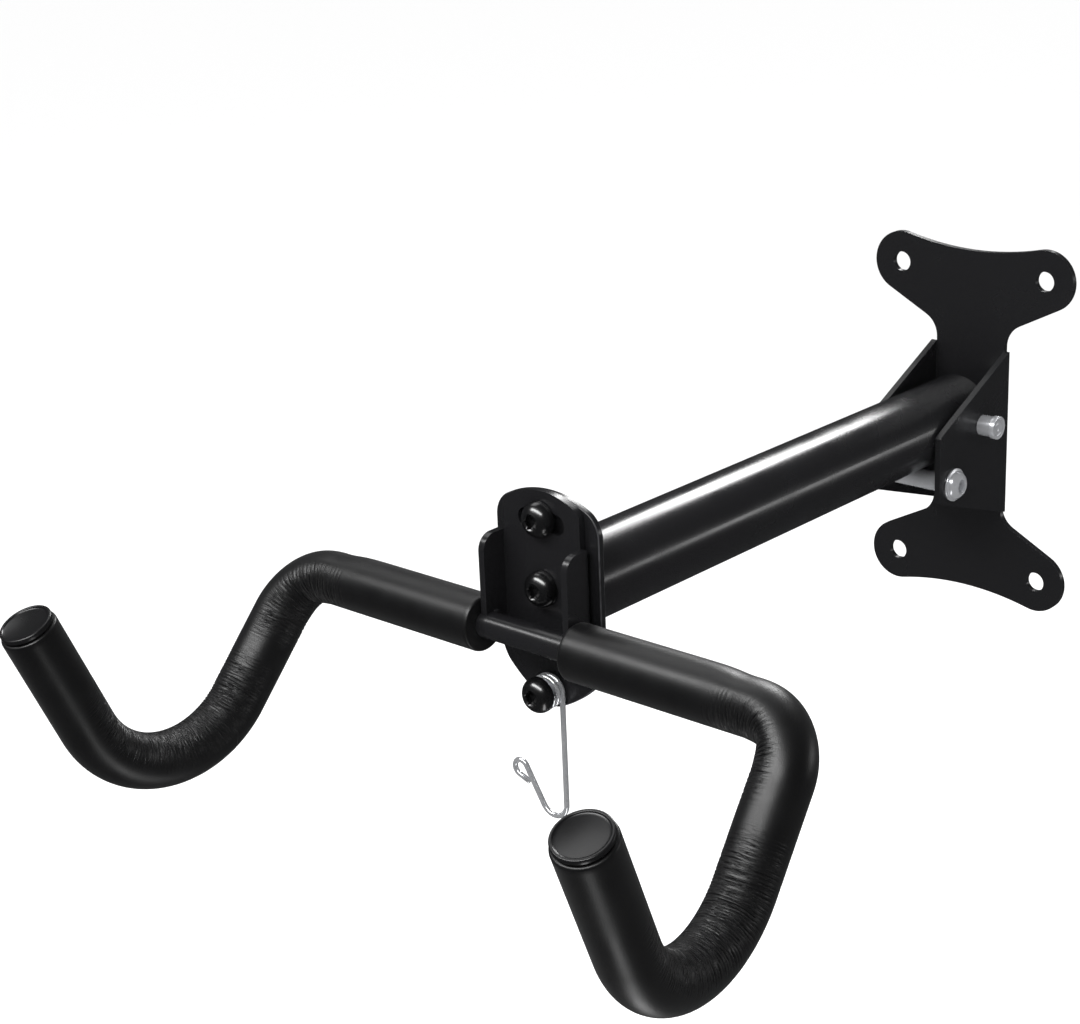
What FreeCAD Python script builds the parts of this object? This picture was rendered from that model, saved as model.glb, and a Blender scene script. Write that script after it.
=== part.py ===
import FreeCAD, Part
import math
import os

# Bicycle wall rack: a folding arm on a wall bracket, with a clamped-on pair of
# foam-covered hooks and a small wire hook for a helmet.
# Millimetres. The wall is the plane Y = 0, the arm points along -Y, +Z is up.
# The origin is the centre of the four wall holes, on the back of the wall plate.

V = FreeCAD.Vector

# ---------------------------------------------------------------- wall bracket
SHEET = 3.0                      # thickness of every pressed steel sheet
HOLE_SPACING_X = 82.0
HOLE_SPACING_Z = 156.0
WALL_HOLE_D = 10.0
LOBE_R = 15.5                    # rounded ear around each wall hole
EDGE_DIP = 5.0                   # how far the top and bottom edges curve inwards
EAR_SLOPE = 27.5                 # degrees, underside of an ear
NECK_HALF = 19.5                 # half width of the plate between the ears
NECK_FILLET = 12.0
FLANGE_REACH = 64.0              # how far the two side flanges stand off the wall
FLANGE_TOP_BACK = 40.0
FLANGE_TOP_FRONT = 11.0
FLANGE_LOW_FRONT = -22.5
FLANGE_LOW_BACK = -44.0
BEND_R = 3.5                     # outside radius of the bent sheet

# ------------------------------------------------------------------------- arm
ARM_Z = 8.5                      # height of the arm's axis
ARM_R = 19.0
ARM_WALL = 2.0
PIVOT_Y = -27.0
ARM_TAIL = 12.5                  # length of tube behind the pivot
PIN_D = 8.0
PIN_HEAD_D = 11.6
PIN_HEAD_H = 2.8
PIN_SHOULDER_D = 10.2            # thicker part between the flange and the head
PIN_STANDOFF = 7.0               # length of that part
PIN_TAIL = 7.0                   # pin beyond the left flange
RING_T = 0.9                     # retaining ring, in a groove near the pin's end
RING_R = 7.0
GROOVE_W = 1.1
GROOVE_DEPTH = 0.8
GROOVE_X = 3.3                   # from the left flange's outer face to the groove
RUNNING_GAP = 0.05               # radial play of a pin in its bush
BUSH_D = 12.0
SUPPORT_Y = -51.5
SLEEVE_D = 10.0
REST_GAP = 0.3                   # between the arm and the sleeve it rests on
SUPPORT_Z = ARM_Z - ARM_R - REST_GAP - SLEEVE_D / 2

# -------------------------------------------------------- end plate and bolts
BOLT_D = 8.0
HEX_AF = 13.0                    # across the flats of an M8 nut
NUT_H = 6.5
HEAD_D = 15.5                    # button head
HEAD_H = 6.2
HEAD_RIM = 1.2                   # height of a button head's upright rim
SOCKET_AF = 6.0
SOCKET_DEPTH = 3.2
THREAD_OUT = 2.5                 # bolt beyond its nut
BOLT_PLAY = 0.2                  # radial play of a bolt in a plain hole
WASHER_R = 8.0
WASHER_T = 1.6
SUPPORT_FLANGE_D = 16.5          # flanged head of the support bolt
SUPPORT_HEAD_D = 14.0
SUPPORT_HEAD_H = 5.0
SUPPORT_TAIL = 10.0              # support bolt beyond the left flange
PLATE_FRONT = -321.5             # front face of the end plate
BOLT_TOP_Z = 41.5
BOLT_MID_Z = 11.5
BOLT_LOW_Z = -34.0
END_HALF = 27.8
END_TOP = 52.5
END_DOME_R = 48.0
END_CORNER_R = 12.0
END_LOW_CORNER_R = 16.0
END_LOW_CORNER_Z = -17.0
END_SIDE_R = 60.0               # slight bulge of the sloping lower edges
END_NOSE_R = 9.0
END_BOTTOM = -42.5

# ------------------------------------------------------------------ hook clamp
BODY_GAP = 0.3                   # air between faces of parts that move on each other
CLAMP_BACK = PLATE_FRONT - BODY_GAP
CLAMP_FRONT = CLAMP_BACK - SHEET
CLAMP_HALF = 20.5                # half width of the slotted head
CLAMP_TOP = 53.5
CLAMP_DOME_R = 36.0
CLAMP_CORNER_R = 6.0
CLAMP_BOTTOM = -17.0
CHEEK_OUTER = 24.0               # outer face of the clamp's two side cheeks
CHEEK_TOP = 33.0
CHEEK_FRONT = -337.3
CHEEK_CORNER_R = 7.0
SLOT_W = 8.6
SLOT_HALF_ANGLE = 16.0           # degrees the slot runs to each side

# ----------------------------------------------------------------------- hooks
ROD_R = 6.0
ROD_Y = -334.2
ROD_Z = -7.0
SHOULDER_X = 136.0               # corner points of the right hook's centre line
LOW_POINT = V(144.5, -422.0, -113.0)
TIP_POINT = V(149.7, -473.2, 8.6)
SHOULDER_R = 25.0
CRADLE_R = 44.5
FOAM_R = 12.25
FOAM_START_X = 25.0
FOAM_BORE_R = ROD_R + 0.05
CAP_R = 11.4
CAP_T = 3.0
CAP_DISH = 0.9
SPIGOT_R = 3.0
SPIGOT_L = 14.0

# ------------------------------------------------------------------- wire hook
WIRE_R = 1.2
COIL_TURNS = 2.0
COIL_PITCH = 2.5
SPACER_R = 5.0
COIL_R = SPACER_R + 0.1 + WIRE_R
SPACER_L = COIL_TURNS * COIL_PITCH + 2 * WIRE_R + 2 * BODY_GAP
DROP_END_Z = -51.5               # from the bolt, where the bottom bend starts
HOOK_BEND_R = 7.0
RISE_ANGLE = 59.0                # degrees above level of the returning leg
RISE_LENGTH = 18.0
EYE_R = 3.5
EYE_END_ANGLE = 250.0
EYE_TAIL = 6.0


# --------------------------------------------------------------------- helpers
def box(x0, x1, y0, y1, z0, z1):
    return Part.makeBox(x1 - x0, y1 - y0, z1 - z0, V(x0, y0, z0))


def rod_between(start, end, radius):
    axis = end - start
    return Part.makeCylinder(radius, axis.Length, start, axis)


def ring_between(start, end, outer, inner):
    return rod_between(start, end, outer).cut(rod_between(start, end, inner))


def on_circle(centre, radius, degrees):
    """A point of a circle in the XZ plane; degrees run from +X towards +Z."""
    a = math.radians(degrees)
    return centre + V(radius * math.cos(a), 0, radius * math.sin(a))


def arc_xz(centre, radius, start, end):
    middle = (start + end) / 2
    points = [on_circle(centre, radius, d) for d in (start, middle, end)]
    return Part.Arc(*points).toShape()


def line(start, end):
    return Part.LineSegment(start, end).toShape()


def direction_angle(vector):
    return math.degrees(math.atan2(vector.z, vector.x))


def mirrored(edges, normal):
    return [edge.mirror(V(0, 0, 0), normal) for edge in edges]


def sheet_from(edges, front, thickness):
    """A flat sheet parallel to the wall, from the edges of its outline at Y = 0."""
    outline = Part.Wire(Part.sortEdges(edges)[0])
    blank = Part.Face(outline).extrude(V(0, thickness, 0))
    return blank.translated(V(0, front, 0))


def polygon(points):
    return Part.Face(Part.makePolygon(points + points[:1]))


def polygon_prism(points, along):
    return polygon(points).extrude(along)


def hex_prism(across_flats, height):
    corner = across_flats / math.sqrt(3)
    points = [V(corner, 0, 0)]
    for k in range(1, 6):
        a = math.radians(60 * k)
        points.append(V(corner * math.cos(a), corner * math.sin(a), 0))
    return polygon_prism(points, V(0, 0, height))


def stand_on(shape, base, direction):
    """Move a shape drawn around +Z so that it stands on base, along direction."""
    placed = shape.copy()
    placed.Placement = FreeCAD.Placement(base, FreeCAD.Rotation(V(0, 0, 1), direction))
    return placed


def revolved(points):
    """A turned solid from (radius, height) points; it starts and ends on the axis."""
    profile = [V(r, 0, h) for r, h in points]
    return polygon(profile).revolve(V(0, 0, 0), V(0, 0, 1), 360)


def rounded_path(corners, radii):
    """A wire through 3-D corner points, with an arc of its own at each inner corner."""
    edges = []
    start = corners[0]
    for k in range(1, len(corners) - 1):
        corner = corners[k]
        back = (corners[k - 1] - corner).normalize()
        ahead = (corners[k + 1] - corner).normalize()
        half = back.getAngle(ahead) / 2
        reach = radii[k - 1] / math.tan(half)
        bisector = (back + ahead).normalize()
        arc_start = corner + back * reach
        arc_end = corner + ahead * reach
        arc_middle = corner + bisector * (radii[k - 1] / math.sin(half) - radii[k - 1])
        edges.append(line(start, arc_start))
        edges.append(Part.Arc(arc_start, arc_middle, arc_end).toShape())
        start = arc_end
    edges.append(line(start, corners[-1]))
    return Part.Wire(edges)


def pipe(path, radius):
    first = path.Edges[0]
    start = first.valueAt(first.FirstParameter)
    heading = first.tangentAt(first.FirstParameter)
    section = Part.Wire(Part.makeCircle(radius, start, heading))
    return path.makePipeShell([section], True, True)


# ---------------------------------------------------------------- wall bracket
def ear_quarter():
    """Outline of the plate's upper right quarter, from the top dip to the neck."""
    hole = V(HOLE_SPACING_X / 2, 0, HOLE_SPACING_Z / 2)
    dip_z = hole.z + LOBE_R - EDGE_DIP
    # The dip's big circle touches the ear's circle from outside.
    rise = dip_z - hole.z
    dip_r = (hole.x ** 2 + rise ** 2 - LOBE_R ** 2) / (2 * (LOBE_R - rise))
    dip_centre = V(0, 0, dip_z + dip_r)
    touch = direction_angle(dip_centre - hole)
    dip_end = direction_angle(hole - dip_centre)
    # The underside is a straight edge, tangent to the ear.
    under = EAR_SLOPE - 90
    tangent = on_circle(hole, LOBE_R, under)
    slope = math.tan(math.radians(EAR_SLOPE))
    corner = V(NECK_HALF, 0, tangent.z - (tangent.x - NECK_HALF) * slope)
    reach = NECK_FILLET * math.tan(math.radians((90 - EAR_SLOPE) / 2))
    inward = (tangent - corner).normalize()
    fillet_start = corner + inward * reach
    fillet_end = corner - V(0, 0, reach)
    fillet_centre = fillet_end + V(NECK_FILLET, 0, 0)
    return [
        arc_xz(dip_centre, dip_r, -90, dip_end),
        arc_xz(hole, LOBE_R, touch, under),
        line(tangent, fillet_start),
        arc_xz(fillet_centre, NECK_FILLET, 90 + EAR_SLOPE, 180),
        line(fillet_end, V(NECK_HALF, 0, 0)),
    ]


def bracket_flanges():
    """The U-shaped middle of the bracket: the two flanges and their bends."""
    outer = NECK_HALF + SHEET
    solid = box(-outer, outer, -FLANGE_REACH, 0, FLANGE_LOW_BACK, FLANGE_TOP_BACK)
    bends = [e for e in solid.Edges if upright_at(e, outer, 0)]
    solid = solid.makeFillet(BEND_R, bends)
    hollow = box(-NECK_HALF, NECK_HALF, -FLANGE_REACH - 1, -SHEET,
                 FLANGE_LOW_BACK - 1, FLANGE_TOP_BACK + 1)
    side = polygon_prism([
        V(-outer - 1, 0, FLANGE_TOP_BACK),
        V(-outer - 1, -SHEET, FLANGE_TOP_BACK),
        V(-outer - 1, -FLANGE_REACH, FLANGE_TOP_FRONT),
        V(-outer - 1, -FLANGE_REACH, FLANGE_LOW_FRONT),
        V(-outer - 1, -SHEET, FLANGE_LOW_BACK),
        V(-outer - 1, 0, FLANGE_LOW_BACK),
    ], V(2 * outer + 2, 0, 0))
    fronts = [e for e in side.Edges if sideways_at(e, -FLANGE_REACH)]
    side = side.makeFillet(2.0, fronts)
    return solid.cut(hollow).common(side)


def upright_at(edge, x, y):
    """True for an edge that runs along Z at plus or minus x, and at y."""
    ends = [vertex.Point for vertex in edge.Vertexes]
    return all(abs(abs(p.x) - x) < 0.01 and abs(p.y - y) < 0.01 for p in ends)


def sideways_at(edge, y):
    """True for an edge that runs along X at y."""
    ends = [vertex.Point for vertex in edge.Vertexes]
    flat = all(abs(p.y - y) < 0.01 for p in ends)
    return flat and abs(ends[0].x - ends[-1].x) > 1


def wall_bracket():
    quarter = ear_quarter()
    upper = quarter + mirrored(quarter, V(1, 0, 0))
    plate = sheet_from(upper + mirrored(upper, V(0, 0, 1)), -SHEET, SHEET)
    part = plate.fuse(bracket_flanges()).removeSplitter()
    for x in (-HOLE_SPACING_X / 2, HOLE_SPACING_X / 2):
        for z in (-HOLE_SPACING_Z / 2, HOLE_SPACING_Z / 2):
            part = part.cut(rod_between(V(x, -SHEET - 1, z), V(x, 1, z), WALL_HOLE_D / 2))
    reach = NECK_HALF + SHEET + 1
    part = part.cut(rod_between(V(-reach, PIVOT_Y, ARM_Z), V(reach, PIVOT_Y, ARM_Z),
                                PIN_D / 2 + RUNNING_GAP))
    return part.cut(rod_between(V(-reach, SUPPORT_Y, SUPPORT_Z),
                                V(reach, SUPPORT_Y, SUPPORT_Z), BOLT_D / 2 + BOLT_PLAY))


# --------------------------------------------------------- turned and cut parts
def button_bolt(length, flange_d=0.0, head_d=HEAD_D, head_h=HEAD_H):
    """A bolt around +Z: thread below Z = 0, domed head with a hex socket above."""
    crown_r = SOCKET_AF * 0.72
    base = flange_d / 2 if flange_d else head_d / 2
    points = [(0, -length), (BOLT_D / 2 - 0.6, -length), (BOLT_D / 2, -length + 0.6)]
    points += [(BOLT_D / 2, 0), (base, 0), (base, HEAD_RIM * 0.7)]
    points.append((head_d / 2, HEAD_RIM))
    steps = 6
    for k in range(1, steps + 1):
        a = math.radians(90 * k / steps)
        radius = crown_r + (head_d / 2 - crown_r) * math.cos(a)
        points.append((radius, HEAD_RIM + (head_h - HEAD_RIM) * math.sin(a)))
    points.append((0, head_h))
    socket = hex_prism(SOCKET_AF, head_h).translated(V(0, 0, head_h - SOCKET_DEPTH))
    return revolved(points).cut(socket)


def nut():
    """A hex nut around +Z, standing on Z = 0."""
    blank = hex_prism(HEX_AF, NUT_H)
    bevel_r = HEX_AF / math.sqrt(3)
    flat_r = HEX_AF / 2 * 0.95
    bevel_h = (bevel_r - flat_r) * 0.58
    turned = revolved([(0, 0), (flat_r, 0), (bevel_r, bevel_h), (bevel_r, NUT_H - bevel_h),
                       (flat_r, NUT_H), (0, NUT_H)])
    bore = Part.makeCylinder(BOLT_D / 2 + 0.02, NUT_H + 2, V(0, 0, -1))
    return blank.common(turned).cut(bore)


def pivot_pin():
    """The pin the arm turns on, with its dished head on the right."""
    face = NECK_HALF + SHEET
    length = 2 * face + PIN_STANDOFF + PIN_TAIL
    groove = 2 * face + PIN_STANDOFF + GROOVE_X
    pin_r = PIN_D / 2
    shoulder_r = PIN_SHOULDER_D / 2
    head_r = PIN_HEAD_D / 2
    points = [(0, -length), (pin_r - 0.6, -length), (pin_r, -length + 0.6)]
    points += [(pin_r, -groove - GROOVE_W), (pin_r - GROOVE_DEPTH, -groove - GROOVE_W)]
    points += [(pin_r - GROOVE_DEPTH, -groove), (pin_r, -groove)]
    points += [(pin_r, -PIN_STANDOFF), (shoulder_r, -PIN_STANDOFF), (shoulder_r, 0)]
    points += [(head_r, 0), (head_r, PIN_HEAD_H - 0.3)]
    points += [(head_r - 0.3, PIN_HEAD_H), (head_r - 1.1, PIN_HEAD_H)]
    points += [(head_r - 1.9, PIN_HEAD_H - 0.8), (0, PIN_HEAD_H - 0.8)]
    return stand_on(revolved(points), V(face + PIN_STANDOFF, PIVOT_Y, ARM_Z), V(1, 0, 0))


def pivot_ring():
    """The retaining ring in the groove at the left end of the pivot pin."""
    x = -(NECK_HALF + SHEET) - GROOVE_X - (GROOVE_W - RING_T) / 2
    return ring_between(V(x, PIVOT_Y, ARM_Z), V(x - RING_T, PIVOT_Y, ARM_Z),
                        RING_R, PIN_D / 2 - GROOVE_DEPTH + 0.1)


def washer(x, y, z):
    """A flat washer against the outside of the left flange."""
    return ring_between(V(x, y, z), V(x - WASHER_T, y, z), WASHER_R, BOLT_D / 2 + BOLT_PLAY)


def support_bolt():
    face = NECK_HALF + SHEET
    bolt = button_bolt(2 * face + SUPPORT_TAIL, SUPPORT_FLANGE_D, SUPPORT_HEAD_D, SUPPORT_HEAD_H)
    return stand_on(bolt, V(face, SUPPORT_Y, SUPPORT_Z), V(1, 0, 0))


def support_nut():
    x = -(NECK_HALF + SHEET) - WASHER_T
    return stand_on(nut(), V(x, SUPPORT_Y, SUPPORT_Z), V(-1, 0, 0))


def support_sleeve():
    inner = NECK_HALF - 0.05
    return ring_between(V(-inner, SUPPORT_Y, SUPPORT_Z), V(inner, SUPPORT_Y, SUPPORT_Z),
                        SLEEVE_D / 2, BOLT_D / 2 + 0.05)


# ------------------------------------------------------------------------- arm
def arm_tube():
    tail = V(0, PIVOT_Y + ARM_TAIL, ARM_Z)
    nose = V(0, PLATE_FRONT + SHEET, ARM_Z)
    tube = ring_between(tail, nose, ARM_R, ARM_R - ARM_WALL)
    cross = rod_between(V(-ARM_R - 1, PIVOT_Y, ARM_Z), V(ARM_R + 1, PIVOT_Y, ARM_Z), BUSH_D / 2)
    return tube.cut(cross)


def pivot_bush():
    """The cross tube welded through the arm, which turns on the pivot pin."""
    return ring_between(V(-ARM_R, PIVOT_Y, ARM_Z), V(ARM_R, PIVOT_Y, ARM_Z),
                        BUSH_D / 2, PIN_D / 2 + RUNNING_GAP)


def dome_edges(half_width, top, dome_r, corner_r):
    """Right half of a domed top: the crown, then the rounded corner."""
    crown = V(0, 0, top - dome_r)
    x = half_width - corner_r
    corner = V(x, 0, crown.z + math.sqrt((dome_r - corner_r) ** 2 - x ** 2))
    touch = direction_angle(corner - crown)
    return [arc_xz(crown, dome_r, 90, touch), arc_xz(corner, corner_r, touch, 0)], corner.z


def touching_centre(first, first_reach, second, second_reach):
    """The point to the upper left at the given distances from first and second."""
    span = (second - first).Length
    along = (first_reach ** 2 - second_reach ** 2 + span ** 2) / (2 * span)
    across = math.sqrt(first_reach ** 2 - along ** 2)
    heading = math.radians(direction_angle(second - first))
    return first + V(along * math.cos(heading) - across * math.sin(heading), 0,
                     along * math.sin(heading) + across * math.cos(heading))


def end_plate():
    """The plate welded to the arm's nose, with a rounded point at the bottom."""
    dome, side_z = dome_edges(END_HALF, END_TOP, END_DOME_R, END_CORNER_R)
    low = V(END_HALF - END_LOW_CORNER_R, 0, END_LOW_CORNER_Z)
    nose = V(0, 0, END_BOTTOM + END_NOSE_R)
    # The bulging edge is an arc that touches the corner's and the nose's from inside.
    side = touching_centre(nose, END_SIDE_R - END_NOSE_R, low, END_SIDE_R - END_LOW_CORNER_R)
    first = direction_angle(low - side)
    last = direction_angle(nose - side)
    half = dome + [
        line(V(END_HALF, 0, side_z), V(END_HALF, 0, low.z)),
        arc_xz(low, END_LOW_CORNER_R, 0, first),
        arc_xz(side, END_SIDE_R, first, last),
        arc_xz(nose, END_NOSE_R, last, -90),
    ]
    plate = sheet_from(half + mirrored(half, V(1, 0, 0)), PLATE_FRONT, SHEET)
    for z in (BOLT_TOP_Z, BOLT_MID_Z, BOLT_LOW_Z):
        plate = plate.cut(rod_between(V(0, PLATE_FRONT - 1, z), V(0, PLATE_FRONT + 4, z),
                                      BOLT_D / 2 + BOLT_PLAY))
    return plate


def front_bolt(z, head_seat, length):
    return stand_on(button_bolt(length), V(0, head_seat, z), V(0, -1, 0))


def plate_nut(z):
    """A nut welded to the back of the end plate."""
    return stand_on(nut(), V(0, PLATE_FRONT + SHEET, z), V(0, 1, 0))


def coil_spacer():
    """The short sleeve that keeps the wire coil free when its bolt is tight."""
    return ring_between(V(0, PLATE_FRONT, BOLT_LOW_Z), V(0, PLATE_FRONT - SPACER_L, BOLT_LOW_Z),
                        SPACER_R, BOLT_D / 2 + 0.05)


# ----------------------------------------------------------------- hook carrier
def tilt_slot():
    """The curved slot, centred on the middle bolt, in which the top bolt slides."""
    centre = V(0, 0, BOLT_MID_Z)
    radius = BOLT_TOP_Z - BOLT_MID_Z
    first = 90 - SLOT_HALF_ANGLE
    last = 90 + SLOT_HALF_ANGLE
    half = SLOT_W / 2
    right = on_circle(centre, radius, first)
    left = on_circle(centre, radius, last)
    edges = [
        arc_xz(centre, radius + half, first, last),
        arc_xz(left, half, last, last + 180),
        arc_xz(centre, radius - half, last, first),
        arc_xz(right, half, first - 180, first),
    ]
    return sheet_from(edges, CLAMP_FRONT - 1, SHEET + 2)


def clamp_plate():
    """The pressed plate that carries the hooks: slotted head, web and two cheeks."""
    dome, side_z = dome_edges(CLAMP_HALF, CLAMP_TOP, CLAMP_DOME_R, CLAMP_CORNER_R)
    half = dome + [
        line(V(CLAMP_HALF, 0, side_z), V(CLAMP_HALF, 0, CLAMP_BOTTOM)),
        line(V(CLAMP_HALF, 0, CLAMP_BOTTOM), V(0, 0, CLAMP_BOTTOM)),
    ]
    web = sheet_from(half + mirrored(half, V(1, 0, 0)), CLAMP_FRONT, SHEET)
    channel = box(-CHEEK_OUTER, CHEEK_OUTER, CHEEK_FRONT, CLAMP_BACK, CLAMP_BOTTOM, CHEEK_TOP)
    bends = [e for e in channel.Edges if upright_at(e, CHEEK_OUTER, CLAMP_BACK)]
    channel = channel.makeFillet(BEND_R, bends)
    corners = [e for e in channel.Edges if sideways_at(e, CHEEK_FRONT) and e.Vertexes[0].Z > 0]
    channel = channel.makeFillet(CHEEK_CORNER_R, corners)
    inner = CHEEK_OUTER - SHEET
    channel = channel.cut(box(-inner, inner, CHEEK_FRONT - 1, CLAMP_FRONT,
                              CLAMP_BOTTOM - 1, CHEEK_TOP + 1))
    # The cheeks stop at the rod's axis and are hollowed to sit on it.
    for side in (-1, 1):
        low = box(min(side * inner, side * CHEEK_OUTER) - 0.01,
                  max(side * inner, side * CHEEK_OUTER) + 0.01,
                  CHEEK_FRONT - 1, CLAMP_FRONT - 1.5, CLAMP_BOTTOM - 1, ROD_Z)
        channel = channel.cut(low)
    plate = web.fuse(channel).removeSplitter()
    plate = plate.cut(rod_between(V(-30, ROD_Y, ROD_Z), V(30, ROD_Y, ROD_Z), ROD_R))
    plate = plate.cut(tilt_slot())
    return plate.cut(rod_between(V(0, CLAMP_FRONT - 1, BOLT_MID_Z),
                                 V(0, CLAMP_BACK + 1, BOLT_MID_Z), BOLT_D / 2 + 0.1))


def hook_corners(side, start_x):
    """Corner points of one hook's centre line, from the rod's middle to the tip."""
    return [
        V(side * start_x, ROD_Y, ROD_Z),
        V(side * SHOULDER_X, ROD_Y, ROD_Z),
        V(side * LOW_POINT.x, LOW_POINT.y, LOW_POINT.z),
        V(side * TIP_POINT.x, TIP_POINT.y, TIP_POINT.z),
    ]


def tip_direction(side):
    corners = hook_corners(side, FOAM_START_X)
    return (corners[3] - corners[2]).normalize()


def shortened(corners):
    """The same corners, with the last one drawn back by the thickness of the cap."""
    last = (corners[-1] - corners[-2]).normalize()
    return corners[:-1] + [corners[-1] - last * CAP_T]


def hook_rod():
    right = shortened(hook_corners(1, 0))
    left = shortened(hook_corners(-1, 0))
    corners = left[:0:-1] + right[1:]
    rod = pipe(rounded_path(corners, [CRADLE_R, SHOULDER_R, SHOULDER_R, CRADLE_R]), ROD_R)
    for side, end in ((-1, left[-1]), (1, right[-1])):
        inwards = tip_direction(side) * -1
        rod = rod.cut(Part.makeCylinder(SPIGOT_R + 0.02, SPIGOT_L + 1, end, inwards))
    return rod


def foam_sleeve(side):
    path = rounded_path(shortened(hook_corners(side, FOAM_START_X)), [SHOULDER_R, CRADLE_R])
    return pipe(path, FOAM_R).cut(pipe(path, FOAM_BORE_R))


def end_cap(side):
    """A plug with a dished face inside a thin raised rim."""
    rim = 1.3
    points = [(0, -SPIGOT_L), (SPIGOT_R - 0.5, -SPIGOT_L), (SPIGOT_R, -SPIGOT_L + 0.5)]
    points += [(SPIGOT_R, 0), (CAP_R, 0), (CAP_R, CAP_T - 0.6), (CAP_R - 0.6, CAP_T)]
    points += [(CAP_R - rim, CAP_T), (CAP_R - rim - 0.4, CAP_T - 0.6)]
    steps = 5
    for k in range(1, steps + 1):
        radius = (CAP_R - rim - 0.4) * (1 - k / steps)
        fall = 0.6 + (CAP_DISH - 0.6) * math.sin(math.radians(90 * k / steps))
        points.append((radius, CAP_T - fall))
    tip = hook_corners(side, 0)[3]
    along = tip_direction(side)
    return stand_on(revolved(points), tip - along * CAP_T, along)


# ------------------------------------------------------------------- wire hook
def coil_point(centre, turns_left):
    """A point of the coil, which winds back and ends on its +X side at 0 turns left."""
    on_turn = on_circle(centre, COIL_R, 360 * turns_left)
    return on_turn - V(0, COIL_PITCH * turns_left, 0)


def coil_edges(centre):
    """The coil's centre line as quarter turns; it ends heading straight down."""
    edges = []
    for quarter in range(int(COIL_TURNS * 4), 0, -1):
        turns = [quarter / 4, (quarter - 0.5) / 4, (quarter - 1) / 4]
        edges.append(Part.Arc(*[coil_point(centre, t) for t in turns]).toShape())
    return edges


def wire_hook():
    """A coil around the low bolt, a straight drop, a bottom bend and a closed eye."""
    centre = V(0, PLATE_FRONT - BODY_GAP - WIRE_R, BOLT_LOW_Z)
    drop = centre + V(COIL_R, 0, DROP_END_Z)
    bend = drop - V(HOOK_BEND_R, 0, 0)
    bend_end = -(90 + RISE_ANGLE)
    rise_start = on_circle(bend, HOOK_BEND_R, bend_end)
    rise_end = on_circle(rise_start, RISE_LENGTH, 180 - RISE_ANGLE)
    eye = on_circle(rise_end, EYE_R, 270 - RISE_ANGLE)
    eye_out = on_circle(eye, EYE_R, EYE_END_ANGLE)
    path = Part.Wire(coil_edges(centre) + [
        line(centre + V(COIL_R, 0, 0), drop),
        arc_xz(bend, HOOK_BEND_R, 0, bend_end),
        line(rise_start, rise_end),
        arc_xz(eye, EYE_R, 90 - RISE_ANGLE, EYE_END_ANGLE),
        line(eye_out, on_circle(eye_out, EYE_TAIL, EYE_END_ANGLE + 90)),
    ])
    return pipe(path, WIRE_R)


# ------------------------------------------------------------------------ build
def build():
    face = NECK_HALF + SHEET
    low_seat = PLATE_FRONT - SPACER_L
    clamp_seat = CLAMP_FRONT - BODY_GAP
    clamp_length = SHEET * 2 + 2 * BODY_GAP + NUT_H + THREAD_OUT
    low_length = SPACER_L + SHEET + NUT_H + THREAD_OUT
    parts = {
        "wall_bracket": wall_bracket(),
        "pivot_pin": pivot_pin(),
        "pivot_washer": washer(-face, PIVOT_Y, ARM_Z),
        "pivot_retaining_ring": pivot_ring(),
        "support_bolt": support_bolt(),
        "support_sleeve": support_sleeve(),
        "support_washer": washer(-face, SUPPORT_Y, SUPPORT_Z),
        "support_nut": support_nut(),
        "arm_tube": arm_tube(),
        "pivot_bush": pivot_bush(),
        "end_plate": end_plate(),
        "tilt_bolt_top": front_bolt(BOLT_TOP_Z, clamp_seat, clamp_length),
        "tilt_bolt_middle": front_bolt(BOLT_MID_Z, clamp_seat, clamp_length),
        "wire_hook_bolt": front_bolt(BOLT_LOW_Z, low_seat, low_length),
        "nut_top": plate_nut(BOLT_TOP_Z),
        "nut_middle": plate_nut(BOLT_MID_Z),
        "nut_low": plate_nut(BOLT_LOW_Z),
        "coil_spacer": coil_spacer(),
        "clamp_plate": clamp_plate(),
        "hook_rod": hook_rod(),
        "foam_sleeve_left": foam_sleeve(-1),
        "foam_sleeve_right": foam_sleeve(1),
        "end_cap_left": end_cap(-1),
        "end_cap_right": end_cap(1),
        "wire_hook": wire_hook(),
    }
    os.makedirs("parts", exist_ok=True)
    for name, shape in parts.items():
        shape.exportStep("parts/" + name + ".step")
        b = shape.BoundBox
        print(name, len(shape.Solids), shape.isValid(), round(shape.Volume, 1),
              [round(v, 1) for v in (b.XMin, b.XMax, b.YMin, b.YMax, b.ZMin, b.ZMax)])


build()
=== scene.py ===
"""Bicycle wall rack: finishes, foam, bolts, welds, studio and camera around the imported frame."""

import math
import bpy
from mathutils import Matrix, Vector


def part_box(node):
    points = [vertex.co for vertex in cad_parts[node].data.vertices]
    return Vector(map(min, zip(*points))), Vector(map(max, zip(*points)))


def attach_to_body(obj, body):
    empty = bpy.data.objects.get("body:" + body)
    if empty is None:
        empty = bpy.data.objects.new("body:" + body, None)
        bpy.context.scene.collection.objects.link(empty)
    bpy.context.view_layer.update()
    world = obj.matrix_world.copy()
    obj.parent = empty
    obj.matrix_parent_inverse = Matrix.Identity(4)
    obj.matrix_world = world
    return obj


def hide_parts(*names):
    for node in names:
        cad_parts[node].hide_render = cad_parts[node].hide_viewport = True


bl_info = {
    "name": "Bicycle Wall Rack",
    "version": (1, 0, 0),
    "blender": (4, 5, 0),
    "location": "View3D > Sidebar > Wall Rack",
    "description": "Builds the looks of a folding bicycle wall rack around its packed frame",
    "category": "Object",
}

import bmesh
import bpy
import numpy as np
from bpy.props import (
    FloatProperty,
    FloatVectorProperty,
    IntProperty,
    PointerProperty,
)
from mathutils import Matrix, Vector, noise

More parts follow.
